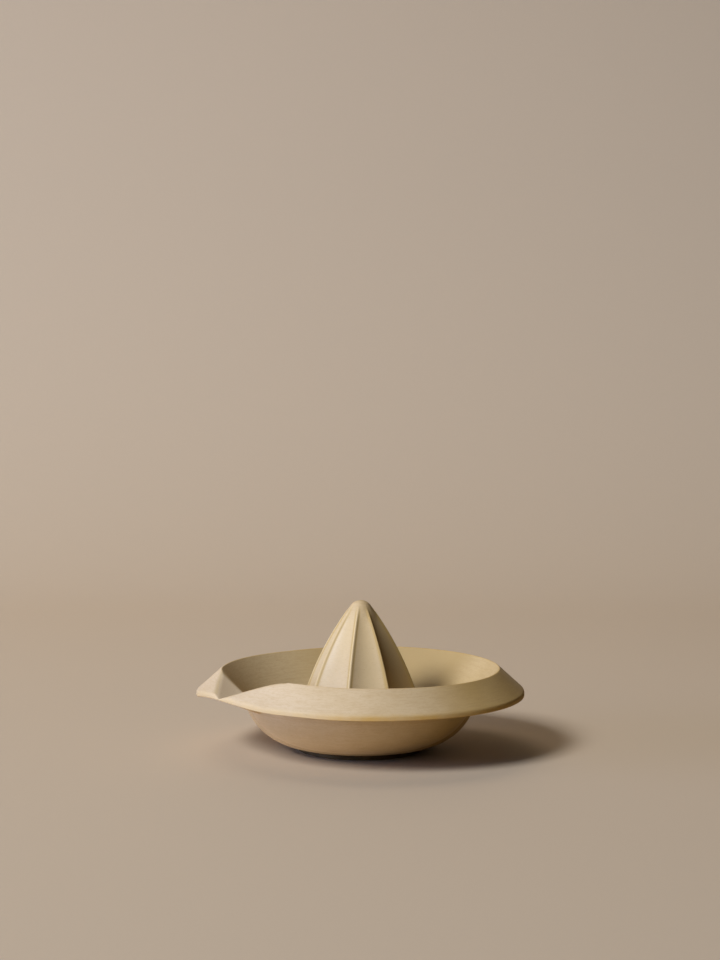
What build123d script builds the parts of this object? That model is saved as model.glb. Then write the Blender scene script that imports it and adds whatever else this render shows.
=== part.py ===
"""Glazed stoneware citrus juicer: a footed bowl with a bevelled rim, a V spout and a fluted cone.

The five pieces are the ones a potter forms and luts together before firing.
The frame has +Z up, the origin on the cone's axis at table height, and the spout pours along -X.
All lengths are in millimetres and all angles in degrees.
"""

from build123d import *
import math
import os

# Overall
outer_radius = 81.3
rim_height = 41.8
cone_height = 74.6

# Radii as shares of the outer radius
rim_inner_share = 0.845
belly_share = 0.696
cone_share = 0.412
vent_share = 0.3075
foot_share = 0.3776

# Rim, with its drops taken from the rim's height
inner_edge_round = 0.8
edge_drop = 13.7
edge_height = 2.4
edge_round = 1.2
edge_base_round = 0.5
root_reach = 1.6
root_drop = 15.3
cove_depth = 4.6

# Bowl
seam_drop = 19.8
bowl_wall = 5.2
belly_arc_radius = 29.0
floor_height = 7.2
trough_arc_radius = 9.5
trough_floor_width = 0.65

# Foot ring
foot_height = 2.7
foot_width = 5.0
foot_edge_round = 0.6

# Spout
spout_azimuth = 180.0
spout_sector = 30.0
mouth_half_angle = 26.0
lip_rise = 3.65
lip_thickness = 1.25
channel_slope = 15.0
channel_wall = 4.0
keel_setback = 0.3
keel_skin = 0.7
keel_top_drop = 5.0
spout_stations = 9

# Reamer cone
cone_flank_radius = 156.0
tip_radius = 6.3
flute_count = 8
flute_depth = 3.8
flute_fade_height = 9.0
flute_stations = 8
cavity_flank_radius = 130.0
cavity_tip_radius = 4.0
tip_wall = 7.5

# Radii and heights that follow
rim_inner_radius = outer_radius * rim_inner_share
belly_radius = outer_radius * belly_share
rim_root_radius = belly_radius + root_reach
cone_base_radius = outer_radius * cone_share
vent_radius = outer_radius * vent_share
foot_radius = outer_radius * foot_share
edge_base_height = rim_height - edge_drop
rim_root_height = rim_height - root_drop
seam_height = rim_height - seam_drop

# Extra length of a cutting tool past what it cuts
overrun = 12.0


def turned(edges, sweep=360.0, start=0.0):
    """Turn a closed section about the Z axis, from the start angle."""
    solid = revolve(make_face(edges), axis=Axis.Z, revolution_arc=sweep)
    return solid.rotate(Axis.Z, start)


def corner_points(points):
    """Straight edges through the given (radius, height) points."""
    places = [Vector(radius, 0, height) for radius, height in points]
    return [Line(start, end) for start, end in zip(places[:-1], places[1:])]


def arc_centre(first, second, radius):
    """Centre of the arc that joins two (radius, height) points and bulges outwards and down."""
    span = math.dist(first, second)
    rise = math.sqrt(radius**2 - (span / 2) ** 2)
    along = ((second[0] - first[0]) / span, (second[1] - first[1]) / span)
    middle = ((first[0] + second[0]) / 2, (first[1] + second[1]) / 2)
    return (middle[0] - along[1] * rise, middle[1] + along[0] * rise)


def arc_between(first, second, centre):
    """Arc edge round a centre, through its point midway between the two ends."""
    radius = math.dist(first, centre)
    middle = ((first[0] + second[0]) / 2, (first[1] + second[1]) / 2)
    reach = math.dist(middle, centre)
    bulge = [centre[i] + (middle[i] - centre[i]) * radius / reach for i in (0, 1)]
    return ThreePointArc((first[0], 0, first[1]), (bulge[0], 0, bulge[1]), (second[0], 0, second[1]))


# Places that several pieces share, as (radius, height)
inner_edge = (rim_inner_radius, rim_height)
seam_outer = (belly_radius, seam_height)
seam_inner = (belly_radius - bowl_wall, seam_height)
rim_root = (rim_root_radius, rim_root_height)


def trough_points():
    """Where the inside arc leaves the floor, its centre, and where it runs tangent into the wall."""
    low = (cone_base_radius + trough_floor_width, floor_height)
    centre = (low[0], floor_height + trough_arc_radius)
    to_seam = math.atan2(seam_inner[1] - centre[1], seam_inner[0] - centre[0])
    angle = to_seam - math.acos(trough_arc_radius / math.dist(centre, seam_inner))
    top_radius = centre[0] + trough_arc_radius * math.cos(angle)
    return low, centre, (top_radius, centre[1] + trough_arc_radius * math.sin(angle))


def make_foot_ring():
    """Low ring under the bowl, with its two lower corners eased."""
    inner_radius = foot_radius - foot_width
    ring = turned(
        corner_points(
            [
                (inner_radius, 0),
                (foot_radius, 0),
                (foot_radius, foot_height),
                (inner_radius, foot_height),
                (inner_radius, 0),
            ]
        )
    )
    lower_corners = ring.edges().filter_by(GeomType.CIRCLE).group_by(Axis.Z)[0]
    return fillet(lower_corners, foot_edge_round)


def make_bowl():
    """Turned bowl with a rounded belly, open under the cone and flat on top where the rim sits."""
    low, trough_centre, top = trough_points()
    crease = (foot_radius, foot_height)
    belly_centre = arc_centre(crease, seam_outer, belly_arc_radius)
    edges = corner_points([(vent_radius, foot_height), (vent_radius, floor_height), low])
    edges.append(arc_between(low, top, trough_centre))
    edges += corner_points([top, seam_inner, seam_outer])
    edges.append(arc_between(seam_outer, crease, belly_centre))
    edges += corner_points([crease, (vent_radius, foot_height)])
    return turned(edges)


def rounded_corner(before, corner, after, radius):
    """Arc that rounds the corner between two straight lines, as (start, end, centre)."""
    to_before = [(before[i] - corner[i]) / math.dist(before, corner) for i in (0, 1)]
    to_after = [(after[i] - corner[i]) / math.dist(after, corner) for i in (0, 1)]
    half_angle = math.acos(to_before[0] * to_after[0] + to_before[1] * to_after[1]) / 2
    setback = radius / math.tan(half_angle)
    start = tuple(corner[i] + to_before[i] * setback for i in (0, 1))
    end = tuple(corner[i] + to_after[i] * setback for i in (0, 1))
    inward = [to_before[i] + to_after[i] for i in (0, 1)]
    reach = radius / math.sin(half_angle) / math.hypot(*inward)
    centre = tuple(corner[i] + inward[i] * reach for i in (0, 1))
    return start, end, centre


def edge_bottom(rise):
    """Lower corner of the outer edge when it is lifted by rise."""
    return (outer_radius, edge_base_height + rise)


def rim_section(rise):
    """Closed section of the rim: flared wall, bevel, outer edge and the hollow under it."""
    bottom = edge_bottom(rise)
    top = (bottom[0], bottom[1] + edge_height)
    under = (rim_root_radius, bottom[1])
    crest = rounded_corner(seam_inner, inner_edge, top, inner_edge_round)
    shoulder = rounded_corner(inner_edge, top, bottom, edge_round)
    base = rounded_corner(top, bottom, under, edge_base_round)
    middle = ((rim_root[0] + base[1][0]) / 2, (rim_root[1] + base[1][1]) / 2)
    cove_top = (middle[0], 0, middle[1] + cove_depth)
    edges = corner_points([seam_outer, seam_inner, crest[0]])
    edges.append(arc_between(*crest))
    edges += corner_points([crest[1], shoulder[0]])
    edges.append(arc_between(*shoulder))
    edges += corner_points([shoulder[1], base[0]])
    edges.append(arc_between(*base))
    edges.append(ThreePointArc((base[1][0], 0, base[1][1]), cove_top, (rim_root[0], 0, rim_root[1])))
    edges += corner_points([rim_root, seam_outer])
    return edges


def make_rim_flange():
    """Bevelled rim, turned all round except for the spout's sector."""
    return turned(rim_section(0), 360 - 2 * spout_sector, spout_azimuth + spout_sector)


def lift_at(angle):
    """How far the outer edge is pulled up at an angle from the spout's line."""
    return lip_rise * math.cos(math.pi / 2 * angle / spout_sector) ** 2


def station_angles():
    """Angles of the sections that the spout is lofted through."""
    step = 2 * spout_sector / (spout_stations - 1)
    return [-spout_sector + step * index for index in range(spout_stations)]


def sector_loft(section):
    """Loft a section, given by its lift, across the spout's sector."""
    faces = []
    for angle in station_angles():
        face = make_face(section(lift_at(angle)))
        faces.append(face.rotate(Axis.Z, spout_azimuth + angle))
    return loft(faces)


def keel_section(rise):
    """Section that fills the hollow under the spout, kept inside the rim's own skin."""
    bottom = edge_bottom(rise)
    inset = (seam_outer[0] - keel_setback, seam_height)
    return corner_points(
        [
            inset,
            (seam_inner[0] + keel_skin, seam_height),
            (rim_inner_radius, rim_height - keel_top_drop),
            (bottom[0] - edge_round, bottom[1] + keel_skin),
            inset,
        ]
    )


def channel_tip():
    """Where the channel's floor line leaves the lip, as (distance from the axis, height)."""
    return (outer_radius, edge_base_height + lip_rise + lip_thickness)


def channel_floor(distance):
    """Height of the channel's floor line at a distance from the axis."""
    tip = channel_tip()
    return tip[1] - (tip[0] - distance) * math.tan(math.radians(channel_slope))


def channel_prism(drop):
    """V prism along the channel's floor line, lowered by drop, open upwards."""
    mouth = math.radians(mouth_half_angle)
    corner_along = rim_inner_radius * math.cos(mouth)
    corner_across = rim_inner_radius * math.sin(mouth)
    side_slope = (rim_height - channel_floor(corner_along)) / corner_across
    far = outer_radius + overrun
    near = cone_base_radius
    depth = rim_height + overrun
    faces = []
    for distance in (near, far):
        floor = channel_floor(distance) - drop
        across = (depth - floor) / side_slope
        corners = [
            Vector(distance, 0, floor),
            Vector(distance, across, depth),
            Vector(distance, -across, depth),
        ]
        faces.append(make_face(Polyline(*corners, close=True)))
    return loft(faces, ruled=True).rotate(Axis.Z, spout_azimuth)


def make_pouring_spout():
    """Sector of the rim with a lifted lip, a V channel on top and a keel under it."""
    drop = channel_wall / math.cos(math.radians(channel_slope))
    keel = sector_loft(keel_section) & channel_prism(drop)
    body = sector_loft(rim_section) + keel
    return body - channel_prism(0)


def ogive_centre(base_radius, flank_radius, tip_centre_height, round_radius):
    """Centre of the flank's arc, which starts at the base and runs tangent into the rounded tip."""
    span = math.hypot(base_radius, tip_centre_height - floor_height)
    to_tip = flank_radius - round_radius
    along = (flank_radius**2 - to_tip**2 + span**2) / (2 * span)
    across = math.sqrt(flank_radius**2 - along**2)
    unit = (-base_radius / span, (tip_centre_height - floor_height) / span)
    foot = (base_radius + unit[0] * along, floor_height + unit[1] * along)
    return (foot[0] - unit[1] * across, foot[1] + unit[0] * across)


def ogive_radius(height, centre, flank_radius):
    """Radius of the flank at a height."""
    return centre[0] + math.sqrt(flank_radius**2 - (height - centre[1]) ** 2)


def tangent_point(centre, tip_centre_height, round_radius):
    """Where the flank runs into the rounded tip."""
    reach = math.hypot(centre[0], tip_centre_height - centre[1])
    away = (-centre[0] / reach, (tip_centre_height - centre[1]) / reach)
    return (away[0] * round_radius, tip_centre_height + away[1] * round_radius)


def flute_face(ridge_radius, hollow, height):
    """Cross-section of the cone: ridges joined by hollow arcs."""
    pitch = 2 * math.pi / flute_count
    start = math.radians(spout_azimuth)
    edges = []
    for index in range(flute_count):
        spots = []
        for share, radius in ((0, ridge_radius), (1 / 2, ridge_radius - hollow), (1, ridge_radius)):
            angle = start + pitch * (index + share)
            spots.append((radius * math.cos(angle), radius * math.sin(angle), height))
        edges.append(ThreePointArc(*spots))
    return make_face(edges)


def make_reamer_cone():
    """Fluted hollow cone: lofted flank, round tip, and a smooth cavity open below."""
    tip_centre_height = cone_height - tip_radius
    centre = ogive_centre(cone_base_radius, cone_flank_radius, tip_centre_height, tip_radius)
    top_radius, top_height = tangent_point(centre, tip_centre_height, tip_radius)
    step = (top_height - floor_height) / (flute_stations - 1)
    faces = []
    for index in range(flute_stations):
        height = floor_height + step * index
        radius = ogive_radius(height, centre, cone_flank_radius)
        fade = min(1.0, (top_height - height) / flute_fade_height)
        hollow = flute_depth * radius / cone_base_radius * fade
        faces.append(flute_face(radius, hollow, height))
    flank = loft(faces)
    tip = turned(tip_edges(top_radius, top_height, tip_centre_height))
    return flank + tip - cone_cavity()


def tip_edges(top_radius, top_height, tip_centre_height):
    """Section of the round tip above the flank."""
    apex = (0, cone_height)
    edges = corner_points([apex, (0, top_height), (top_radius, top_height)])
    edges.append(arc_between((top_radius, top_height), apex, (0, tip_centre_height)))
    return edges


def cone_cavity():
    """Smooth hollow inside the cone, as wide at its foot as the opening in the bowl's floor."""
    top = cone_height - tip_wall
    round_height = top - cavity_tip_radius
    centre = ogive_centre(vent_radius, cavity_flank_radius, round_height, cavity_tip_radius)
    shoulder = tangent_point(centre, round_height, cavity_tip_radius)
    base = (vent_radius, floor_height)
    edges = corner_points([(0, top), (0, floor_height), base])
    edges.append(arc_between(base, shoulder, centre))
    edges.append(arc_between(shoulder, (0, top), (0, round_height)))
    return turned(edges)


def main():
    """Build every piece and write one STEP file for each."""
    os.makedirs("parts", exist_ok=True)
    pieces = {
        "foot_ring": make_foot_ring(),
        "bowl": make_bowl(),
        "rim_flange": make_rim_flange(),
        "pouring_spout": make_pouring_spout(),
        "reamer_cone": make_reamer_cone(),
    }
    for name, piece in pieces.items():
        export_step(piece, f"parts/{name}.step")


main()
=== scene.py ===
"""Stoneware citrus juicer on a beige paper sweep.

Each piece is turned or lofted here as a fine mesh that stands for its CAD node.
Shapes are worked out in millimetres, in the CAD's frame, and stored in metres.
Angles round the rim are in degrees from the spout, which points along -X.
"""

import math

import bpy
import numpy as np
from mathutils import Matrix, Vector


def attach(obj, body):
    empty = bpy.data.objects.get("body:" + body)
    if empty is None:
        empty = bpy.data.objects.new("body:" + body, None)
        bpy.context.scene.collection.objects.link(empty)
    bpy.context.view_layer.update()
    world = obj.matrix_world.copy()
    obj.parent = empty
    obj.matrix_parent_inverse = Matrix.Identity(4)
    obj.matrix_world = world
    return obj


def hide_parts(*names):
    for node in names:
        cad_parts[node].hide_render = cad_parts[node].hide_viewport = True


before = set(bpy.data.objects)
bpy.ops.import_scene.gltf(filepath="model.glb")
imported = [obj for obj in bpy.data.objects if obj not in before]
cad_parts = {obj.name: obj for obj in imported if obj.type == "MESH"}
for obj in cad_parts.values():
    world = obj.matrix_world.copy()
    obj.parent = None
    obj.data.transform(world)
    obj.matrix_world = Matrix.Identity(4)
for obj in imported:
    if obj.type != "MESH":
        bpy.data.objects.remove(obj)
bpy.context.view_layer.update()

MM = 0.001
TINY = 1e-6

# Rim, in mm
OUTER_RADIUS = 81.26
INNER_RADIUS = 68.7
RIM_HEIGHT = 41.8
SEAM_HEIGHT = 22.0
BELLY_RADIUS = 56.585
WALL_THICKNESS = 5.2
EDGE_BASE = 28.1
EDGE_HEIGHT = 2.4
EDGE_ROUND = 1.9
LIP_ROUND = 0.5
FULL_ROUND_BAND = 1.15
BASE_ROUND = 0.5
ROOT_RADIUS = 58.185
ROOT_HEIGHT = 26.5
COVE_DEPTH = 4.6
COVE_START = 1.0
COVE_BLEND = 3.0
CREST_BLEND = 1.2
CREST_ZONE = 1.5
SLOPE_STEP = 0.6

# Spout, in mm and degrees
SECTOR = 30.0
MOUTH = 26.0
LIP_RISE = 3.65
LIP_THICKNESS = 1.25
LIP_DIP = 0.3
CHANNEL_SLOPE = 15.0
CHANNEL_WALL = 4.14
FLOOR_BLEND = 0.7
NOTCH_BLEND = 2.8
LIP_DRIFT = 5.0
DRIFT_START = 62.0
DRIFT_LENGTH = 19.3
DRIFT_LIMIT_SHARE = 1.1
DRIFT_POWER = 1.5
FAR_STEEPER_SHARES = (0.10, 0.30)
FAR_RANGE = (48.0, 80.0)
KEEL_BLEND = 2.5
KEEL_CREASE_BLEND = 1.5
KEEL_INSET = 0.3
KEEL_SKIN = 0.7
KEEL_END = 1.2
KEEL_EASE = 4.0
KEEL_EDGE = 1.0

# Masks on the rim: how far from an edge the glaze is broken, and where the channel's painted light begins
CREST_EDGE_SHARE = 0.55
CREST_EDGE_REACH = 2.0
NOTCH_EDGE_REACH = 2.2
LIP_EDGE_SHARE = 0.3
LIP_EDGE_ZONE = (1.6, 0.4)
CHANNEL_LIGHT_RANGE = (-0.5, 1.5)

# Points in a section of the rim, and sections in each of its two pieces
WALL_POINTS = 44
CREST_POINTS = 26
BEVEL_POINTS = 33
SHOULDER_POINTS = 9
HEEL_POINTS = 6
UNDER_POINTS = 46
UNDER_CROWDING = 1.25
RIM_STEPS = 300
SPOUT_STEPS = 240

# Bowl, in mm
FLOOR_HEIGHT = 7.2
TROUGH_ARC = 9.5
TROUGH_START = 34.15
BELLY_ARC = 29.0
VENT_RADIUS = 25.0
VENT_STEP = 0.3
FLOOR_POINTS = 8
TROUGH_POINTS = 20
SLOPE_POINTS = 14
BELLY_POINTS = 44
VENT_POINTS = 4
BOWL_STEPS = 360
BOWL_GLOSS = 0.45

# Foot, in mm
FOOT_RADIUS = 30.7
FOOT_HEIGHT = 2.7
FOOT_INNER = 25.7
FOOT_ROUND = 0.7
FOOT_FILLET = 0.7
FOOT_OVERLAP = 0.05
FOOT_SIDE_POINTS = 3
FOOT_ROUND_POINTS = 6
FOOT_FACE_POINTS = 8
FOOT_STEPS = 300
BARE_HEIGHTS = (0.02, 0.25)

# Cone, in mm and degrees
CONE_HEIGHT = 74.6
CONE_BASE = 33.35
CONE_FLANK = 156.0
CONE_FILLET = 2.6
TIP_RADIUS = 6.0
FLUTES = 8
FLUTE_DEPTH = 5.0
FLUTE_FADE = 9.0
FLUTE_RISE = 1.5
RIDGE_ROUND_SHARE = 0.09
RIDGE_ANGLES = (1.0, 47.5, 91.8, 145.0, 186.0, 228.0, 272.0, 316.0)
RIB_HEIGHT = 0.25
RIB_WIDTH = 1.05
RIB_WIDTH_SHARES = (0.7, 0.3)
RIB_FADE = 6.0
RIB_RISE = 1.0
SHOULDER_WIDTH = 0.55
CAVITY_FLANK = 130.0
CAVITY_TIP = 4.0
TIP_WALL = 7.5
FLUTE_STEPS = 48
RIDGE_CROWDING = 1.6
CONE_ROWS = (96, 22)
CAVITY_ROWS = (40, 10)

SHARP_ANGLE = 38.0
INWARD_RANGE = (0.1, 0.7)

# How the rim of the fired piece departs from a true circle: (angle from the spout, lift in mm)
WARP = [
    (-180, -0.05), (-140, 0.0), (-115, -0.6), (-98, -1.0), (-88, -1.35), (-60, -1.4), (-37, -1.35),
    (-25, -0.8), (-14, -0.3), (-2, -0.3), (4, 0.0), (15, 0.95), (23, 1.5), (30, 1.45), (40, 1.2),
    (46, 0.75), (54, 0.45), (62, 0.4), (78, 0.15), (100, -0.2), (125, -0.25), (150, -0.15), (180, -0.05),
]
WARP_STEP = 3.0
WARP_WEIGHTS = ((-2, 1), (-1, 2), (0, 3), (1, 2), (2, 1))
WARP_HEIGHTS = (19.0, 28.0)
WARP_RADII = (38.0, 48.0)


def smooth_step(value, low, high):
    """0 below low, 1 above high, and a smooth turn between them."""
    t = np.clip((value - low) / (high - low), 0.0, 1.0)
    return t * t * (3.0 - 2.0 * t)


def smooth_min(a, b, blend):
    """Lower of two heights, with the corner between them rounded over blend."""
    t = np.clip(0.5 + 0.5 * (b - a) / np.maximum(blend, TINY), 0.0, 1.0)
    return b * (1.0 - t) + a * t - blend * t * (1.0 - t)


def smooth_max(a, b, blend):
    """Higher of two heights, with the corner between them rounded over blend."""
    return -smooth_min(-a, -b, blend)


def nearness(a, b, reach):
    """1 where two surfaces meet, 0 where they are more than reach apart."""
    return np.clip(1.0 - np.abs(a - b) / reach, 0.0, 1.0)


def warp_lift(angle):
    """Smooth lift of the rim at angles from the spout."""
    angles = np.array([a for a, _ in WARP], float)
    lifts = np.array([lift for _, lift in WARP], float)
    whole = sum(weight for _, weight in WARP_WEIGHTS)
    total = np.zeros_like(angle, dtype=float)
    for shift, weight in WARP_WEIGHTS:
        turned = (angle + shift * WARP_STEP + 180.0) % 360.0 - 180.0
        total += weight / whole * np.interp(turned, angles, lifts)
    return total


def warped(points):
    """Move points of any piece by the rim's departure from a true circle."""
    x, y, z = points[:, 0], points[:, 1], points[:, 2]
    angle = np.degrees(np.arctan2(-y, -x))
    weight = smooth_step(z, *WARP_HEIGHTS) * smooth_step(np.hypot(x, y), *WARP_RADII)
    out = points.copy()
    out[:, 2] += warp_lift(angle) * weight
    return out


# Rim and spout

def lift_at(angle):
    """Rise of the rim's edge towards the lip."""
    inside = np.abs(angle) < SECTOR
    return np.where(inside, LIP_RISE * np.cos(np.radians(90.0 * angle / SECTOR)) ** 2, 0.0)


def channel_height(radius, angle):
    """Height of the V channel's two planes over a point of the rim."""
    mouth = math.radians(MOUTH)
    slope = math.tan(math.radians(CHANNEL_SLOPE))
    tip = EDGE_BASE + LIP_RISE + LIP_THICKNESS
    along = radius * np.cos(np.radians(angle))
    across = radius * np.sin(np.radians(angle))
    drifted = np.clip((along - DRIFT_START) / DRIFT_LENGTH, 0.0, DRIFT_LIMIT_SHARE)
    across = across - LIP_DRIFT * drifted**DRIFT_POWER
    corner_floor = tip - (OUTER_RADIUS - INNER_RADIUS * math.cos(mouth)) * slope
    side = (RIM_HEIGHT - corner_floor) / (INNER_RADIUS * math.sin(mouth))
    start, end = FAR_STEEPER_SHARES
    steeper = start + (end - start) * smooth_step(along, *FAR_RANGE)
    side = side * np.where(across < 0.0, 1.0 + steeper, 1.0)
    walls = side * (np.sqrt(across**2 + FLOOR_BLEND**2) - FLOOR_BLEND)
    return tip - LIP_DIP - (OUTER_RADIUS - along) * slope + walls


def top_height(radius, angle):
    """Height of the rim's upper surface, how near it is to an edge, and how far it is in the channel, as a
    mask for painted light.
    """
    inner = BELLY_RADIUS - WALL_THICKNESS
    wall = SEAM_HEIGHT + (radius - inner) * (RIM_HEIGHT - SEAM_HEIGHT) / (INNER_RADIUS - inner)
    corner = EDGE_BASE + EDGE_HEIGHT + lift_at(angle)
    bevel = RIM_HEIGHT + (radius - INNER_RADIUS) * (corner - RIM_HEIGHT) / (OUTER_RADIUS - INNER_RADIUS)
    height = smooth_min(wall, bevel, CREST_BLEND)
    edge = CREST_EDGE_SHARE * nearness(wall, bevel, CREST_EDGE_REACH)
    if np.all(np.abs(angle) >= SECTOR):
        return height, edge, np.zeros_like(height)
    channel = channel_height(radius, angle)
    edge = np.where(channel < height, 0.0, edge)
    edge = np.maximum(edge, nearness(height, channel, NOTCH_EDGE_REACH))
    channel_light = smooth_step(height - channel, *CHANNEL_LIGHT_RANGE)
    return smooth_min(height, channel, NOTCH_BLEND), edge, channel_light


def under_height(radius, angle):
    """Height of the rim's underside: outer wall, hollow, and the keel under the channel."""
    low = EDGE_BASE + lift_at(angle)
    end = OUTER_RADIUS - BASE_ROUND
    share = (radius - ROOT_RADIUS) / (end - ROOT_RADIUS)
    arch = COVE_DEPTH * (1.0 - (2.0 * share - 1.0) ** 2)
    cove = ROOT_HEIGHT + (low - ROOT_HEIGHT) * share + arch
    wall_slope = (ROOT_HEIGHT - SEAM_HEIGHT) / (ROOT_RADIUS - BELLY_RADIUS)
    wall = SEAM_HEIGHT + (radius - BELLY_RADIUS) * wall_slope
    cove_blend = COVE_BLEND * smooth_step(radius, BELLY_RADIUS, BELLY_RADIUS + COVE_START)
    height = smooth_min(cove, wall, cove_blend)
    if np.all(np.abs(angle) >= SECTOR):
        return height
    line_start = BELLY_RADIUS - KEEL_INSET
    line_slope = (low + KEEL_SKIN - SEAM_HEIGHT) / (OUTER_RADIUS - KEEL_END - line_start)
    line = SEAM_HEIGHT + (radius - line_start) * line_slope
    lowered = channel_height(radius, angle) - CHANNEL_WALL
    keel = smooth_max(lowered, line, KEEL_CREASE_BLEND)
    blend = KEEL_BLEND * smooth_step(radius, BELLY_RADIUS, BELLY_RADIUS + KEEL_EASE)
    blend = blend * (1.0 - smooth_step(radius, OUTER_RADIUS - KEEL_EASE, OUTER_RADIUS - KEEL_EDGE))
    return smooth_min(height, keel, blend)


def rim_shares():
    """Places along the upper surface from 0 at the seam to 1 at the edge, closest together at the crest."""
    inner = BELLY_RADIUS - WALL_THICKNESS
    low = np.linspace(inner, INNER_RADIUS - CREST_ZONE, WALL_POINTS, endpoint=False)
    crest = np.linspace(INNER_RADIUS - CREST_ZONE, INNER_RADIUS + CREST_ZONE, CREST_POINTS, endpoint=False)
    high = np.linspace(INNER_RADIUS + CREST_ZONE, OUTER_RADIUS, BEVEL_POINTS)
    radii = np.concatenate([low, crest, high])
    return (radii - inner) / (OUTER_RADIUS - inner)


def height_at(radius, angle):
    """Height of the rim's upper surface at one point."""
    return top_height(np.array([radius]), np.array([angle]))[0][0]


def rim_loop(angle):
    """Closed (radius, height) section of the rim at one angle, with its edge mask and the channel's painted
    light mask.
    """
    inner = BELLY_RADIUS - WALL_THICKNESS
    base = EDGE_BASE + float(lift_at(np.array(angle)))
    corner = height_at(OUTER_RADIUS, angle)
    slope = math.atan2(corner - height_at(OUTER_RADIUS - SLOPE_STEP, angle), SLOPE_STEP)
    fullness = min(1.0, max(0.0, (corner - base - LIP_THICKNESS) / FULL_ROUND_BAND))
    radius = LIP_ROUND + (EDGE_ROUND - LIP_ROUND) * fullness
    setback = radius * math.tan((math.pi / 2 + slope) / 2)
    last = OUTER_RADIUS - setback * math.cos(slope)
    radii = inner + rim_shares() * (last - inner)
    heights, edges, channel = top_height(radii, np.full_like(radii, angle))
    heights[-1] = corner - setback * math.sin(slope)
    turn = np.linspace(math.pi / 2 + slope, 0.0, SHOULDER_POINTS)[1:]
    shoulder = circle_points((OUTER_RADIUS - radius, corner - setback), radius, turn)
    fall = np.linspace(0.0, -math.pi / 2, HEEL_POINTS)
    heel = circle_points((OUTER_RADIUS - BASE_ROUND, base + BASE_ROUND), BASE_ROUND, fall)
    share = np.linspace(1.0, 0.0, UNDER_POINTS)[1:]
    under_radii = BELLY_RADIUS + (OUTER_RADIUS - BASE_ROUND - BELLY_RADIUS) * share**UNDER_CROWDING
    under = np.stack([under_radii, under_height(under_radii, np.full_like(under_radii, angle))], 1)
    loop = np.concatenate([np.stack([radii, heights], 1), shoulder, heel, under])
    lip_start, lip_end = LIP_EDGE_ZONE
    near_lip = LIP_EDGE_SHARE * smooth_step(radii, OUTER_RADIUS - lip_start, OUTER_RADIUS - lip_end)
    band = np.linspace(LIP_EDGE_SHARE, 1.0, len(shoulder))
    edge = np.concatenate([np.maximum(edges, near_lip), band, np.ones(len(heel)), np.zeros(len(under))])
    channel = np.concatenate([channel, np.zeros(len(loop) - len(channel))])
    return loop, edge, channel


def circle_points(centre, radius, turns):
    """(radius, height) points on a circle, at turns in radians from its outermost point."""
    return np.stack([centre[0] + radius * np.cos(turns), centre[1] + radius * np.sin(turns)], 1)


def swept_mesh(angles, loops, closed):
    """Quads through (radius, height) loops that stand at angles from the spout."""
    rows = len(angles)
    count = len(loops[0])
    points = np.zeros((rows, count, 3))
    for row, (angle, loop) in enumerate(zip(angles, loops)):
        turn = math.radians(180.0 + angle)
        points[row, :, 0] = loop[:, 0] * math.cos(turn)
        points[row, :, 1] = loop[:, 0] * math.sin(turn)
        points[row, :, 2] = loop[:, 1]
    faces = []
    for row in range(rows if closed else rows - 1):
        here = row * count
        there = ((row + 1) % rows) * count
        for index in range(count):
            after = (index + 1) % count
            faces.append((here + index, here + after, there + after, there + index))
    if not closed:
        faces.append(tuple(range(count)))
        faces.append(tuple((rows - 1) * count + index for index in reversed(range(count))))
    return points.reshape(-1, 3), faces


def rim_piece(name, start, stop, steps):
    """Part of the rim between two angles, with flat ends."""
    angles = np.linspace(start, stop, steps + 1)
    sections = [rim_loop((a + 180.0) % 360.0 - 180.0 if abs(a) > 180.0 else a) for a in angles]
    points, faces = swept_mesh(angles, [loop for loop, _, _ in sections], closed=False)
    edges = np.concatenate([edge for _, edge, _ in sections])
    channel_lights = np.concatenate([channel for _, _, channel in sections])
    return make_object(name, points, faces, {"edge": edges, "channel": channel_lights})


# Turned pieces

def arc_points(start, end, centre, count):
    """Points along the arc round a centre, after start and up to end."""
    first = math.atan2(start[1] - centre[1], start[0] - centre[0])
    last = math.atan2(end[1] - centre[1], end[0] - centre[0])
    sweep = (last - first + math.pi) % (2.0 * math.pi) - math.pi
    radius = math.dist(start, centre)
    turns = [first + sweep * i / count for i in range(1, count + 1)]
    return [(centre[0] + radius * math.cos(t), centre[1] + radius * math.sin(t)) for t in turns]


def line_points(start, end, count):
    """Points along a straight line, after start and up to end."""
    return [
        (start[0] + (end[0] - start[0]) * i / count, start[1] + (end[1] - start[1]) * i / count)
        for i in range(1, count + 1)
    ]


def bulge_centre(first, second, radius):
    """Centre of the belly's arc between two (radius, height) points."""
    span = math.dist(first, second)
    rise = math.sqrt(radius**2 - (span / 2) ** 2)
    along = ((second[0] - first[0]) / span, (second[1] - first[1]) / span)
    middle = ((first[0] + second[0]) / 2, (first[1] + second[1]) / 2)
    return (middle[0] - along[1] * rise, middle[1] + along[0] * rise)


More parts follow.
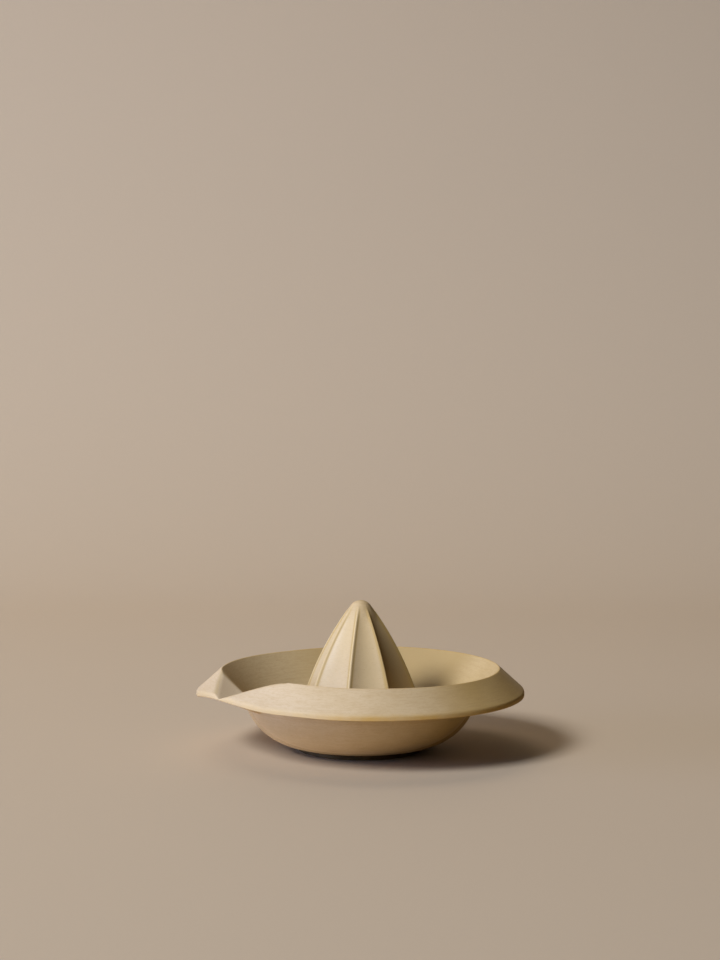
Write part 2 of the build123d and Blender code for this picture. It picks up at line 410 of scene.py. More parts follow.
def bowl_loop():
    """Section of the bowl, from the vent over the floor, up the inside and down the belly."""
    inner = (BELLY_RADIUS - WALL_THICKNESS, SEAM_HEIGHT)
    outer = (BELLY_RADIUS, SEAM_HEIGHT)
    centre = (TROUGH_START, FLOOR_HEIGHT + TROUGH_ARC)
    to_seam = math.atan2(inner[1] - centre[1], inner[0] - centre[0])
    angle = to_seam - math.acos(TROUGH_ARC / math.dist(centre, inner))
    top = (centre[0] + TROUGH_ARC * math.cos(angle), centre[1] + TROUGH_ARC * math.sin(angle))
    crease = (FOOT_RADIUS, FOOT_HEIGHT)
    loop = [(VENT_RADIUS, FLOOR_HEIGHT)]
    loop += line_points(loop[-1], (TROUGH_START, FLOOR_HEIGHT), FLOOR_POINTS)
    loop += arc_points(loop[-1], top, centre, TROUGH_POINTS)
    loop += line_points(loop[-1], inner, SLOPE_POINTS)
    loop += line_points(inner, outer, 1)
    loop += arc_points(outer, crease, bulge_centre(crease, outer, BELLY_ARC), BELLY_POINTS)
    loop += line_points(crease, (VENT_RADIUS, FOOT_HEIGHT), VENT_POINTS)
    loop += line_points(loop[-1], (VENT_RADIUS, FLOOR_HEIGHT - VENT_STEP), VENT_POINTS)
    return np.array(loop)


def foot_loop():
    """Foot ring with eased lower corners and a small fillet of glaze where it meets the belly."""
    top = FOOT_HEIGHT + FOOT_OVERLAP
    inner_centre = (FOOT_INNER + FOOT_ROUND, FOOT_ROUND)
    outer_centre = (FOOT_RADIUS - FOOT_ROUND, FOOT_ROUND)
    fillet_centre = (FOOT_RADIUS + FOOT_FILLET, FOOT_HEIGHT - FOOT_FILLET)
    loop = [(FOOT_INNER, FOOT_HEIGHT)]
    loop += line_points(loop[-1], (FOOT_INNER, FOOT_ROUND), FOOT_SIDE_POINTS)
    loop += arc_points(loop[-1], (inner_centre[0], 0.0), inner_centre, FOOT_ROUND_POINTS)
    loop += line_points(loop[-1], (outer_centre[0], 0.0), FOOT_FACE_POINTS)
    loop += arc_points(loop[-1], (FOOT_RADIUS, FOOT_ROUND), outer_centre, FOOT_ROUND_POINTS)
    loop += line_points(loop[-1], (FOOT_RADIUS, fillet_centre[1]), FOOT_SIDE_POINTS)
    loop += arc_points(loop[-1], (fillet_centre[0], top), fillet_centre, FOOT_ROUND_POINTS)
    loop += line_points(loop[-1], (FOOT_RADIUS, top), 1)
    return np.array(loop)


def glossy(height):
    """Masks of the bowl, whose glaze is glossier than the rest."""
    return {"gloss": np.full(len(height), BOWL_GLOSS)}


def bare_below(height):
    """Masks of the foot, which is bare clay where it stands on the table."""
    return {"bare": 1.0 - smooth_step(height, *BARE_HEIGHTS)}


def turned_piece(name, loop, steps, masks):
    """One section turned all the way round."""
    angles = np.linspace(0.0, 360.0, steps, endpoint=False)
    points, faces = swept_mesh(angles, [loop] * steps, closed=True)
    return make_object(name, points, faces, masks(points[:, 2]))


# Cone

def ogive_centre(base, flank, tip_height, tip):
    """Centre of the flank's arc, which starts at the base and runs tangent into the round tip."""
    span = math.hypot(base, tip_height - FLOOR_HEIGHT)
    along = (flank**2 - (flank - tip) ** 2 + span**2) / (2 * span)
    across = math.sqrt(flank**2 - along**2)
    unit = (-base / span, (tip_height - FLOOR_HEIGHT) / span)
    foot = (base + unit[0] * along, FLOOR_HEIGHT + unit[1] * along)
    return (foot[0] - unit[1] * across, foot[1] + unit[0] * across)


def cone_profile(base, flank, top, tip, rows):
    """(radius, height) points from the base over the round tip to the axis, and where the tip begins."""
    flank_rows, tip_rows = rows
    tip_height = top - tip
    centre = ogive_centre(base, flank, tip_height, tip)
    reach = math.hypot(centre[0], tip_height - centre[1])
    touch = (-centre[0] / reach * tip, tip_height + (tip_height - centre[1]) / reach * tip)
    points = [(base, FLOOR_HEIGHT)]
    points += arc_points(points[0], touch, centre, flank_rows)
    points += arc_points(touch, (0.0, top), (0.0, tip_height), tip_rows)
    return np.array(points), touch[1]


def flute_shape(turn):
    """How hollow the cone is at an angle from the middle of a flute, from 0 at a ridge to 1."""
    half = math.pi / FLUTES
    depth = FLUTE_DEPTH / CONE_BASE
    mid = 1.0 - depth
    centre = (mid**2 - 1.0) / (2.0 * (mid - math.cos(half)))
    radius = centre - mid
    reach = centre * np.cos(turn) - np.sqrt(radius**2 - (centre * np.sin(turn)) ** 2)
    raw = (1.0 - reach) / depth
    rounded = np.sqrt(raw**2 + RIDGE_ROUND_SHARE**2) - RIDGE_ROUND_SHARE
    return rounded / (math.sqrt(1.0 + RIDGE_ROUND_SHARE**2) - RIDGE_ROUND_SHARE)


def cone_turns():
    """Angles round the cone, closest together at its ridges, and each one's place across its flute."""
    place = np.linspace(-1.0, 1.0, FLUTE_STEPS, endpoint=False)
    place = np.sign(place) * (1.0 - (1.0 - np.abs(place)) ** RIDGE_CROWDING)
    ridges = np.radians(RIDGE_ANGLES + (RIDGE_ANGLES[0] + 360.0,))
    spans = zip(ridges[:-1], ridges[1:])
    turns = np.concatenate([low + (high - low) * (place + 1.0) / 2.0 for low, high in spans])
    return turns + math.pi, np.tile(place, FLUTES)


def fluted_row(radius, height, fade_top, place):
    """Reach of the cone's surface round one height, with its shoulder, crest and pool masks, the crest mask
    carrying a painted highlight.
    """
    half = math.pi / FLUTES
    hollow = flute_shape(half * place)
    from_rib = half * (1.0 - np.abs(place)) * radius
    fade = float(smooth_step(fade_top + FLUTE_RISE - height, 0.0, FLUTE_FADE + FLUTE_RISE))
    rib_fade = float(smooth_step(fade_top + RIB_RISE - height, 0.0, RIB_FADE))
    least, more = RIB_WIDTH_SHARES
    rib_width = RIB_WIDTH * (least + more * (CONE_HEIGHT - height) / CONE_HEIGHT)
    crest = np.exp(-((from_rib / rib_width) ** 4)) * rib_fade
    shoulder = np.exp(-(((from_rib - rib_width) / SHOULDER_WIDTH) ** 2)) * rib_fade
    spread = CONE_FILLET * max(0.0, 1.0 - (height - FLOOR_HEIGHT) / CONE_FILLET) ** 2
    depth = FLUTE_DEPTH / CONE_BASE * radius * fade * hollow
    return radius - depth + spread + RIB_HEIGHT * crest, shoulder, crest, hollow * fade


def ring_points(reach, height, turns):
    """Points round the axis at one height."""
    return np.stack([reach * np.cos(turns), reach * np.sin(turns), np.full_like(turns, height)], 1)


def shell_faces(start, rings, count, facing_in):
    """Quads between rings of points, and the fan to the apex that follows the last ring."""
    pairs = [(index, (index + 1) % count) for index in range(count)]
    if facing_in:
        pairs = [(after, index) for index, after in pairs]
    faces = []
    for row in range(rings - 1):
        low = start + row * count
        high = low + count
        faces += [(low + a, low + b, high + b, high + a) for a, b in pairs]
    last = start + (rings - 1) * count
    faces += [(last + a, last + b, last + count) for a, b in pairs]
    return faces


def cone_piece(name):
    """Hollow cone with flutes and thin ribs, open below."""
    turns, place = cone_turns()
    count = len(turns)
    outside, fade_top = cone_profile(CONE_BASE, CONE_FLANK, CONE_HEIGHT, TIP_RADIUS, CONE_ROWS)
    rings = []
    masks = {"shoulder": [], "crest": [], "pool": []}
    for radius, height in outside[:-1]:
        reach, *values = fluted_row(radius, height, fade_top, place)
        rings.append(ring_points(reach, height, turns))
        for mask, value in zip(masks.values(), values):
            mask.append(value)
    cavity_top = CONE_HEIGHT - TIP_WALL
    cavity, _ = cone_profile(VENT_RADIUS, CAVITY_FLANK, cavity_top, CAVITY_TIP, CAVITY_ROWS)
    shell = [ring_points(radius, height, turns) for radius, height in cavity[:-1]]
    apex = np.array([[0.0, 0.0, CONE_HEIGHT]])
    cavity_apex = np.array([[0.0, 0.0, cavity_top]])
    points = np.concatenate(rings + [apex] + shell + [cavity_apex])
    start = len(rings) * count + 1
    faces = shell_faces(0, len(rings), count, facing_in=False)
    faces += shell_faces(start, len(shell), count, facing_in=True)
    for index in range(count):
        after = (index + 1) % count
        faces.append((after, index, start + index, start + after))
    unmasked = np.zeros(len(points) - len(rings) * count)
    masks = {mask: np.concatenate(values + [unmasked]) for mask, values in masks.items()}
    return make_object(name, points, faces, masks)


# Objects

def store_mask(mesh, name, values):
    """Keep one number per point for the materials to read."""
    layer = mesh.attributes.new(name, "FLOAT", "POINT")
    layer.data.foreach_set("value", np.asarray(values, dtype=np.float32))


def inward(mesh):
    """How much each point's surface faces the axis, from 0 to 1."""
    count = len(mesh.vertices)
    places = np.empty(3 * count)
    normals = np.empty(3 * count)
    mesh.vertices.foreach_get("co", places)
    mesh.vertex_normals.foreach_get("vector", normals)
    radial = places.reshape(count, 3)[:, :2]
    radial = radial / np.maximum(np.hypot(radial[:, 0], radial[:, 1]), TINY)[:, None]
    facing = -np.sum(radial * normals.reshape(count, 3)[:, :2], axis=1)
    return smooth_step(facing, *INWARD_RANGE)


def make_object(name, points, faces, masks):
    """Object of warped points given in mm, with its masks and its sharp edges marked."""
    mesh = bpy.data.meshes.new(name)
    mesh.from_pydata((warped(points) * MM).tolist(), [], faces)
    for mask, values in masks.items():
        store_mask(mesh, mask, values)
    store_mask(mesh, "inside", inward(mesh))
    mesh.polygons.foreach_set("use_smooth", np.ones(len(mesh.polygons), dtype=bool))
    mesh.set_sharp_from_angle(angle=math.radians(SHARP_ANGLE))
    mesh.update()
    piece = bpy.data.objects.new(name, mesh)
    bpy.context.scene.collection.objects.link(piece)
    return piece


# Materials

# Noise as (scale, detail, roughness)
GLAZE_NOISE = {
    "cloud": (26.0, 3.0, 0.55),
    "mottle": (520.0, 4.0, 0.65),
    "line": (110.0, 4.0, 0.65),
    "break": (130.0, 3.0, 0.55),
    "speck": (820.0, 2.0, 0.5),
    "wave": (34.0, 2.0, 0.55),
    "peel": (620.0, 3.0, 0.5),
}
FOOT_NOISE = {"cloud": (120.0, 4.0, 0.55), "clay": (500.0, 4.0, 0.55), "grain": (900.0, 4.0, 0.55)}
PAPER_NOISE = (700.0, 2.0, 0.55)

# How much heights are stretched for marks that run round the piece
MOTTLE_STRETCH = 4.0
LINE_STRETCH = 13.0

# Glaze colours. Those with lit_side in their name are painted light for the spout's end, and those with
# shade_side are painted shade for the side away from the spout.
GLAZE = {
    "lit_side_thick": (0.486, 0.388, 0.278),
    "lit_side_thin": (0.458, 0.360, 0.248),
    "thick": (0.488, 0.378, 0.244),
    "thin": (0.458, 0.348, 0.213),
    "shade_side_thick": (0.422, 0.293, 0.127),
    "shade_side_thin": (0.388, 0.261, 0.101),
    # Inner wall: a darker, yellower painted shade, far darker on the side away from the spout
    "inside": (0.490, 0.368, 0.202),
    "shade_side_inside": (0.312, 0.222, 0.100),
    "mottle": (0.325, 0.214, 0.090),
    "line": (0.335, 0.225, 0.100),
    # Flute pools: darker as painted shade on the lit flutes, and painted_light_pool lighter as painted
    # light further round
    "pool": (0.415, 0.310, 0.180),
    "painted_light_pool": (0.525, 0.410, 0.238),
    # Spout channel: a pale colour that is painted light
    "channel": (0.625, 0.505, 0.360),
    "edge": (0.470, 0.362, 0.212),
    # Edge ochre darker on the side away from the spout: painted shade
    "shade_side_edge": (0.430, 0.278, 0.092),
    "shoulder": (0.355, 0.240, 0.085),
    # Rib crest: pale, partly thin glaze and partly a painted highlight; shade_side_crest is painted shade
    # on the ribs away from the light
    "crest": (0.54, 0.418, 0.245),
    "shade_side_crest": (0.375, 0.258, 0.100),
    "speck": (0.22, 0.132, 0.049),
}

# Stretches of X, in metres, over which one colour gives way to the next: painted light at the spout's end,
# painted shade away from it
LIT_SIDE_SPAN = (-0.076, -0.042)
SHADE_SIDE_SPAN = (-0.017, 0.024)
POOL_LIGHT_SPAN = (-0.021, -0.010)
EDGE_SHADE_SPAN = (-0.068, -0.035)
CREST_SHADE_SPAN = (-0.005, 0.0)

# A lit patch in the shaded side, where the painted shade is lifted: its middle in metres, and its reach
# with the share of painted shade left in it
LIT_PATCH_PLACE = (0.066, -0.020, 0.036)
LIT_PATCH_REACH = (0.010, 0.036, 0.15, 1.0)

# Ranges of noise and of masks, some with the strengths that they lead to
CLOUD_RANGE = (0.36, 0.66)
MOTTLE_RANGE = (0.44, 0.62)
LINE_RANGE = (0.42, 0.66)
LINE_POOL_RANGE = (0.0, 0.6, 1.0, 0.25)
LINE_SHADE_SIDE_RANGE = (0.0, 1.0, 0.20, 0.34)
BREAK_RANGE = (0.30, 0.70, 0.50, 0.95)
SPECK_RANGE = (0.66, 0.76)

# How strongly each mark is mixed in; the inside, pool, channel and crest marks carry painted light and
# shade
MIX_SHARES = {
    "inside": 0.75,
    "mottle": 0.17,
    "pool": 0.40,
    "channel": 0.9,
    "shoulder": 0.90,
    "crest": 0.60,
    "speck": 0.40,
}

GLAZE_ROUGHNESS = 0.6
GLAZE_SPECULAR = 0.1
WORN_RANGE = (0.0, 0.5, 1.0, 0.1)
SHEEN_RANGE = (0.1, 0.7, 0.35, 0.03)
COAT_ROUGHNESS_RANGE = (0.4, 0.9, 0.38, 0.25)
PEEL_SHARE = 0.10
GLAZE_BUMP = (0.4, 0.0006)

# The foot's dark olive-brown is painted shade for the foot in the shadow under the belly
FOOT_SHADE_LIGHT = (0.070, 0.045, 0.018)
FOOT_SHADE_DARK = (0.038, 0.023, 0.008)
CLAY_LIGHT = (0.46, 0.38, 0.29)
CLAY_DARK = (0.34, 0.27, 0.19)
FOOT_RANGE = (0.35, 0.7)
FOOT_ROUGHNESS_RANGE = (0.2, 0.8, 0.55, 0.85)
FOOT_SPECULAR = 0.12
FOOT_BUMP = (0.2, 0.0002)

# Paper as the camera sees it, and the calmer light that it throws back on the object
PAPER_LIGHT = (0.446, 0.358, 0.266)
PAPER_DARK = (0.431, 0.346, 0.258)
PAPER_SHADE = (0.315, 0.255, 0.192)
BOUNCE_LEFT = (0.70, 0.528, 0.32)
BOUNCE_RIGHT = (0.36, 0.265, 0.15)
PAPER_GRAIN_RANGE = (0.3, 0.7, 0.0, 0.5)
PAPER_ROUGHNESS = 0.75
PAPER_SPECULAR = 0.25


class Nodes:
    """Short calls for building one material's nodes."""

    def __init__(self, name):
        self.material = bpy.data.materials.new(name)
        self.material.use_nodes = True
        self.tree = self.material.node_tree
        self.shader = self.tree.nodes["Principled BSDF"]

    def add(self, kind, **settings):
        """New node with its settings."""
        node = self.tree.nodes.new(kind)
        for key, value in settings.items():
            setattr(node, key, value)
        return node

    def put(self, value, target):
        """Link an output to a socket, or set the socket to a number or colour."""
        if isinstance(value, tuple):
            target.default_value = (*value, 1.0)
        elif isinstance(value, float):
            target.default_value = value
        else:
            self.tree.links.new(value, target)

    def coords(self):
        """Object coordinates."""
        return self.add("ShaderNodeTexCoord").outputs["Object"]

    def stretched(self, rise):
        """Object coordinates with heights scaled up, for marks that run round the piece."""
        node = self.add("ShaderNodeMapping")
        node.inputs["Scale"].default_value = (1.0, 1.0, rise)
        self.put(self.coords(), node.inputs["Vector"])
        return node.outputs["Vector"]

    def noise(self, look, coords=None):
        """Noise with a look of (scale, detail, roughness)."""
        node = self.add("ShaderNodeTexNoise")
        for key, value in zip(("Scale", "Detail", "Roughness"), look):
            node.inputs[key].default_value = value
        self.put(coords or self.coords(), node.inputs["Vector"])
        return node.outputs["Fac"]

    def ramp(self, source, low, high, to_low=0.0, to_high=1.0):
        """Smooth change from one value to another as the source goes from low to high."""
        node = self.add("ShaderNodeMapRange", interpolation_type="SMOOTHSTEP")
        for key, value in (("From Min", low), ("From Max", high), ("To Min", to_low), ("To Max", to_high)):
            node.inputs[key].default_value = value
        self.put(source, node.inputs["Value"])
        return node.outputs["Result"]

    def mix(self, factor, first, second):
        """Colour between two colours."""
        node = self.add("ShaderNodeMix", data_type="RGBA")
        for value, socket in ((factor, node.inputs[0]), (first, node.inputs[6]), (second, node.inputs[7])):
            self.put(value, socket)
        return node.outputs[2]

    def maths(self, operation, first, second):
        """Result of one operation on two values."""
        node = self.add("ShaderNodeMath", operation=operation)
        self.put(first, node.inputs[0])
        self.put(second, node.inputs[1])
        return node.outputs[0]

    def attribute(self, name):
        """Mask stored on the mesh."""
        return self.add("ShaderNodeAttribute", attribute_name=name).outputs["Fac"]

    def bump(self, height, strength, distance):
        """Small relief in the shader's normal."""
        node = self.add("ShaderNodeBump")
        node.inputs["Strength"].default_value = strength
        node.inputs["Distance"].default_value = distance
        self.put(height, node.inputs["Height"])
        self.put(node.outputs["Normal"], self.shader.inputs["Normal"])


def glaze_ground(n, x, shade_side):
    """The glaze's colour, with painted light at the spout's end, painted shade at the far end, and painted
    shade on the inner wall.
    """
    lit_side = n.ramp(x, *LIT_SIDE_SPAN)
    thick = n.mix(lit_side, GLAZE["lit_side_thick"], GLAZE["thick"])
    thick = n.mix(shade_side, thick, GLAZE["shade_side_thick"])
    thin = n.mix(lit_side, GLAZE["lit_side_thin"], GLAZE["thin"])
    thin = n.mix(shade_side, thin, GLAZE["shade_side_thin"])
    colour = n.mix(n.ramp(n.noise(GLAZE_NOISE["cloud"]), *CLOUD_RANGE), thin, thick)
    # Painted shade on the surfaces that face the axis
    inside = n.mix(shade_side, GLAZE["inside"], GLAZE["shade_side_inside"])
    return n.mix(n.maths("MULTIPLY", n.attribute("inside"), MIX_SHARES["inside"]), colour, inside)


def glaze_marks(n, colour, shade_side, banded):
    """Mottling and throwing lines, the lines stronger where the glaze has painted shade."""
    mottle = n.ramp(n.noise(GLAZE_NOISE["mottle"], banded), *MOTTLE_RANGE)
    colour = n.mix(n.maths("MULTIPLY", mottle, MIX_SHARES["mottle"]), colour, GLAZE["mottle"])
    lines = n.ramp(n.noise(GLAZE_NOISE["line"], n.stretched(LINE_STRETCH)), *LINE_RANGE)
    smooth = n.ramp(n.attribute("pool"), *LINE_POOL_RANGE)
    strength = n.maths("MULTIPLY", smooth, n.ramp(shade_side, *LINE_SHADE_SIDE_RANGE))
    return n.mix(n.maths("MULTIPLY", lines, strength), colour, GLAZE["line"])


def paint_pools_and_channel_light(n, colour, x):
    """Pooled glaze in the flutes, darker as painted shade on the lit flutes and lighter as painted light
    further round, and a pale painted light in the spout's channel.
    """
    # Painted shade and painted light in the flute pools
    pool = n.mix(n.ramp(x, *POOL_LIGHT_SPAN), GLAZE["pool"], GLAZE["painted_light_pool"])
    colour = n.mix(n.maths("MULTIPLY", n.attribute("pool"), MIX_SHARES["pool"]), colour, pool)
    # Painted light in the spout's channel
    channel = n.maths("MULTIPLY", n.attribute("channel"), MIX_SHARES["channel"])
    return n.mix(channel, colour, GLAZE["channel"])


def glaze_edges(n, colour, x):
    """Ochre where the glaze breaks over the rim's edges and round the ribs of the cone, darker as painted
    shade away from the spout, and a pale rib crest that is partly thin glaze and partly a painted
    highlight, darker as painted shade on the ribs away from the light.
    """
    ochre = n.mix(n.ramp(x, *EDGE_SHADE_SPAN), GLAZE["edge"], GLAZE["shade_side_edge"])
    uneven = n.ramp(n.noise(GLAZE_NOISE["break"]), *BREAK_RANGE)
    colour = n.mix(n.maths("MULTIPLY", n.attribute("edge"), uneven), colour, ochre)
    shoulder = n.maths("MULTIPLY", n.attribute("shoulder"), MIX_SHARES["shoulder"])
    colour = n.mix(shoulder, colour, GLAZE["shoulder"])
    # Painted highlight on the lit ribs' crests, painted shade on the others
    rib = n.mix(n.ramp(x, *CREST_SHADE_SPAN), GLAZE["crest"], GLAZE["shade_side_crest"])
    return n.mix(n.maths("MULTIPLY", n.attribute("crest"), MIX_SHARES["crest"]), colour, rib)


def glaze_sheen(n):
    """Thin gloss, less where the glaze has worn off an edge and more on the bowl."""
    facing = n.add("ShaderNodeLayerWeight").outputs["Facing"]
    worn = n.maths("MAXIMUM", n.attribute("edge"), n.attribute("crest"))
    sheen = n.maths("MULTIPLY", n.ramp(facing, *SHEEN_RANGE), n.ramp(worn, *WORN_RANGE))
    n.put(n.maths("ADD", sheen, n.attribute("gloss")), n.shader.inputs["Coat Weight"])
    n.put(n.ramp(facing, *COAT_ROUGHNESS_RANGE), n.shader.inputs["Coat Roughness"])


def glaze_material():
    """Semi-matte beige glaze, greyish where it lies thick and yellow-brown where it breaks over edges, with
    painted light at the spout's end and painted shade on the side away from it.
    """
    n = Nodes("beige_glaze_painted_light")
    banded = n.stretched(MOTTLE_STRETCH)
    split = n.add("ShaderNodeSeparateXYZ")
    n.put(n.coords(), split.inputs["Vector"])
    x = split.outputs["X"]
    # Painted shade: it grows along X away from the spout, lifted in one lit patch
    lit_patch = n.add("ShaderNodeVectorMath", operation="DISTANCE")
    lit_patch.inputs[1].default_value = LIT_PATCH_PLACE
    n.put(n.coords(), lit_patch.inputs[0])
    outside_lit_patch = n.ramp(lit_patch.outputs["Value"], *LIT_PATCH_REACH)
    shade_side = n.maths("MULTIPLY", n.ramp(x, *SHADE_SIDE_SPAN), outside_lit_patch)
    colour = glaze_ground(n, x, shade_side)
    colour = glaze_marks(n, colour, shade_side, banded)
    colour = paint_pools_and_channel_light(n, colour, x)
    colour = glaze_edges(n, colour, x)
    speck = n.ramp(n.noise(GLAZE_NOISE["speck"], banded), *SPECK_RANGE)
    colour = n.mix(n.maths("MULTIPLY", speck, MIX_SHARES["speck"]), colour, GLAZE["speck"])
    n.put(colour, n.shader.inputs["Base Color"])
    n.put(GLAZE_ROUGHNESS, n.shader.inputs["Roughness"])
    n.put(GLAZE_SPECULAR, n.shader.inputs["Specular IOR Level"])
    glaze_sheen(n)
    peel = n.maths("MULTIPLY", n.noise(GLAZE_NOISE["peel"], banded), PEEL_SHARE)
    n.bump(n.maths("ADD", n.noise(GLAZE_NOISE["wave"]), peel), *GLAZE_BUMP)
    return n.material


def shaded_foot_material():
    """Foot painted a dark olive-brown as painted shade, bare and paler on the face that stands on the
    table.
    """
    n = Nodes("foot_clay_painted_shade")
    # Painted shade on the foot's side
    colour = n.mix(n.ramp(n.noise(FOOT_NOISE["cloud"]), *FOOT_RANGE), FOOT_SHADE_LIGHT, FOOT_SHADE_DARK)
    bare = n.attribute("bare")
    clay = n.mix(n.noise(FOOT_NOISE["clay"]), CLAY_LIGHT, CLAY_DARK)
    n.put(n.mix(bare, colour, clay), n.shader.inputs["Base Color"])
    n.put(n.ramp(bare, *FOOT_ROUGHNESS_RANGE), n.shader.inputs["Roughness"])
    n.put(FOOT_SPECULAR, n.shader.inputs["Specular IOR Level"])
    n.bump(n.noise(FOOT_NOISE["grain"]), *FOOT_BUMP)
    return n.material


def paper_material():
    """Beige paper with painted shade along the sweep, darker towards the front and up the backdrop."""
    n = Nodes("paper_sweep")
    grain = n.ramp(n.noise(PAPER_NOISE), *PAPER_GRAIN_RANGE)
    seen = n.mix(n.attribute("painted_light_share"), PAPER_SHADE, n.mix(grain, PAPER_LIGHT, PAPER_DARK))
    bounced = n.mix(n.attribute("right"), BOUNCE_LEFT, BOUNCE_RIGHT)
    straight = n.add("ShaderNodeLightPath").outputs["Is Camera Ray"]
    n.put(n.mix(straight, bounced, seen), n.shader.inputs["Base Color"])
    n.put(PAPER_ROUGHNESS, n.shader.inputs["Roughness"])
    n.put(PAPER_SPECULAR, n.shader.inputs["Specular IOR Level"])
    return n.material


# Stage, camera and lights, in metres and degrees

CAMERA_TURN = 30.0
CAMERA_DISTANCE = 1.3
CAMERA_LIFT = 10.9
CAMERA_ROLL = 0.25
SENSOR = 36.0
CLIP_END = 30.0

# The photo's middle, the place in it of the object's foot, its height and the lens, all in pixels
PHOTO_MIDDLE = (360.0, 480.0)
FOOT_PIXEL = (361.3, 748.9)
PHOTO_HEIGHT = 960.0
FOCAL_PIXELS = 2600.0

# The sweep's edges in the photo's directions, and how its floor bends up behind the object
PAPER_NEAR = -1.6
PAPER_BEND = 0.505
PAPER_CURVE = 0.55
PAPER_TOP = 1.7
PAPER_COLUMNS = (-0.95, 0.0, 0.15, 0.42)
PAPER_FLOOR_ROWS = 40
PAPER_CURVE_ROWS = 32

# The paper's painted light by metres along the sweep, darker as painted shade towards the front and up the
# backdrop, and which columns throw back the darker light
PAPER_DEPTH = (-1.6, -0.45, -0.2, 0.0, 0.25, 0.5, 0.8, 1.3, 2.8)
PAPER_LIT_SHARES = (0.54, 0.60, 0.74, 0.85, 0.96, 1.00, 0.84, 0.66, 0.60)
PAPER_RIGHT_SHARES = (0.0, 0.0, 1.0, 1.0)
RIGHT_FADE = (0.15, 0.40)

GLOW_COLOUR = (1.0, 0.74, 0.50, 1.0)
GLOW_STRENGTH = 0.01
SEEN_COLOUR = (0.392, 0.319, 0.256, 1.0)

# Softboxes: azimuth from the photo's left towards the camera, elevation, distance, size, watts, colour
LIGHTS = {
    "key": (48.0, 36.5, 4.0, (1.25, 0.95), 193.0, (0.965, 1.0, 1.05)),
    "side_fill": (12.0, 9.0, 3.0, (1.8, 0.6), 33.0, (0.78, 1.0, 1.66)),
    "front_fill": (56.0, 11.0, 3.0, (1.6, 0.6), 7.0, (0.95, 0.94, 0.96)),
    "rear_top": (308.0, 61.0, 3.0, (1.6, 1.6), 23.0, (0.95, 0.80, 0.66)),
}


def from_view(x, y, z):
    """Point given to the photo's right, away from the camera and up, in the CAD's frame."""
    turn = math.radians(-CAMERA_TURN)
    c, s = math.cos(turn), math.sin(turn)
    return Vector((c * x - s * y, s * x + c * y, z))


def make_sweep():
    """Paper floor that curves up into a backdrop behind the object."""
    profile = [(y, 0.0) for y in np.linspace(PAPER_NEAR, PAPER_BEND, PAPER_FLOOR_ROWS)]
    for index in range(1, PAPER_CURVE_ROWS + 1):
        turn = math.pi / 2 * index / PAPER_CURVE_ROWS
        back = PAPER_BEND + PAPER_CURVE * math.sin(turn)
        rise = PAPER_CURVE - PAPER_CURVE * math.cos(turn)
        profile.append((back, rise))
    profile.append((PAPER_BEND + PAPER_CURVE, PAPER_TOP))
    points = [tuple(from_view(x, y, z)) for y, z in profile for x in PAPER_COLUMNS]
    across = len(PAPER_COLUMNS)
    faces = []
    for row in range(len(profile) - 1):
        for column in range(across - 1):
            corner = row * across + column
            faces.append((corner, corner + 1, corner + across + 1, corner + across))
    mesh = bpy.data.meshes.new("sweep")
    mesh.from_pydata(points, [], faces)
    mesh.polygons.foreach_set("use_smooth", np.ones(len(mesh.polygons), dtype=bool))
    depth = np.array([y + z for y, z in profile])
    # Painted shade along the sweep, darker towards the front and up the backdrop
    store_mask(mesh, "painted_light_share", np.repeat(np.interp(depth, PAPER_DEPTH, PAPER_LIT_SHARES), across))
    close = 1.0 - smooth_step(depth, *RIGHT_FADE)
    store_mask(mesh, "right", np.outer(close, PAPER_RIGHT_SHARES).ravel())
    mesh.materials.append(paper_material())
    sweep = bpy.data.objects.new("sweep", mesh)
    bpy.context.scene.collection.objects.link(sweep)


def make_camera():
    """Camera at the photo's angle, with the object where the photo has it."""
    lift = math.radians(CAMERA_LIFT)
    pitch = lift - math.atan((FOOT_PIXEL[1] - PHOTO_MIDDLE[1]) / FOCAL_PIXELS)
    yaw = math.atan((FOOT_PIXEL[0] - PHOTO_MIDDLE[0]) / FOCAL_PIXELS)
    camera = bpy.data.cameras.new("camera")
    camera.sensor_width = SENSOR
    camera.lens = FOCAL_PIXELS * SENSOR / PHOTO_HEIGHT
    camera.clip_end = CLIP_END
    place = Matrix.Translation((0.0, -CAMERA_DISTANCE * math.cos(lift), CAMERA_DISTANCE * math.sin(lift)))
    view = Matrix.Rotation(yaw, 4, "Z") @ Matrix.Rotation(math.pi / 2 - pitch, 4, "X")
    view = view @ Matrix.Rotation(math.radians(CAMERA_ROLL), 4, "Z")
    turn = Matrix.Rotation(math.radians(-CAMERA_TURN), 4, "Z")
    holder = bpy.data.objects.new("camera", camera)
    holder.matrix_world = turn @ place @ view
    bpy.context.scene.collection.objects.link(holder)
    bpy.context.scene.camera = holder


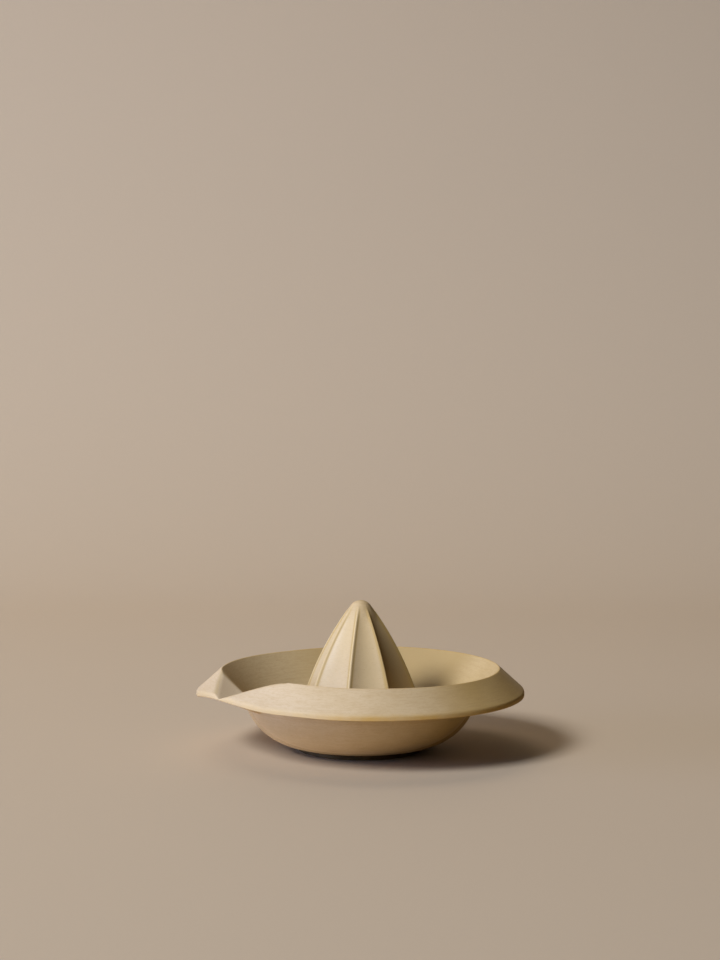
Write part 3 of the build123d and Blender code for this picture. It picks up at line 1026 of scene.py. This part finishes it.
def make_softbox(name, azimuth, elevation, distance, size, power, colour):
    """Softbox of a width and height, turned towards the object."""
    data = bpy.data.lights.new(name, "AREA")
    data.shape = "RECTANGLE"
    data.size, data.size_y = size
    data.energy = power
    data.color = colour
    a, e = math.radians(azimuth), math.radians(elevation)
    away = from_view(-math.cos(a) * math.cos(e), -math.sin(a) * math.cos(e), math.sin(e))
    lamp = bpy.data.objects.new(name, data)
    facing = away.to_track_quat("Z", "Y").to_matrix().to_4x4()
    lamp.matrix_world = Matrix.Translation(away * distance) @ facing
    bpy.context.scene.collection.objects.link(lamp)


def make_world():
    """Faint warm glow, which the camera sees as the backdrop's beige."""
    world = bpy.data.worlds.new("studio")
    world.use_nodes = True
    tree = world.node_tree
    glow = tree.nodes["Background"]
    glow.inputs["Color"].default_value = GLOW_COLOUR
    glow.inputs["Strength"].default_value = GLOW_STRENGTH
    seen = tree.nodes.new("ShaderNodeBackground")
    seen.inputs["Color"].default_value = SEEN_COLOUR
    path = tree.nodes.new("ShaderNodeLightPath")
    choice = tree.nodes.new("ShaderNodeMixShader")
    tree.links.new(path.outputs["Is Camera Ray"], choice.inputs[0])
    tree.links.new(glow.outputs[0], choice.inputs[1])
    tree.links.new(seen.outputs[0], choice.inputs[2])
    tree.links.new(choice.outputs[0], tree.nodes["World Output"].inputs["Surface"])
    bpy.context.scene.world = world


make_camera()
make_sweep()
make_world()
for light, settings in LIGHTS.items():
    make_softbox(light, *settings)

glaze = glaze_material()
foot = shaded_foot_material()

pieces = [
    (rim_piece("glazed_rim", SECTOR, 360.0 - SECTOR, RIM_STEPS), "rim_flange", "glaze", glaze),
    (rim_piece("glazed_spout", -SECTOR, SECTOR, SPOUT_STEPS), "pouring_spout", "glaze", glaze),
    (turned_piece("glazed_bowl", bowl_loop(), BOWL_STEPS, glossy), "bowl", "glaze", glaze),
    (turned_piece("clay_foot", foot_loop(), FOOT_STEPS, bare_below), "foot_ring", "foot", foot),
    (cone_piece("glazed_cone"), "reamer_cone", "glaze", glaze),
]
for piece, node, slot, material in pieces:
    piece.data.materials.append(material)
    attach(piece, "root")
    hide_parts(node)

bpy.context.scene.view_settings.view_transform = "Standard"
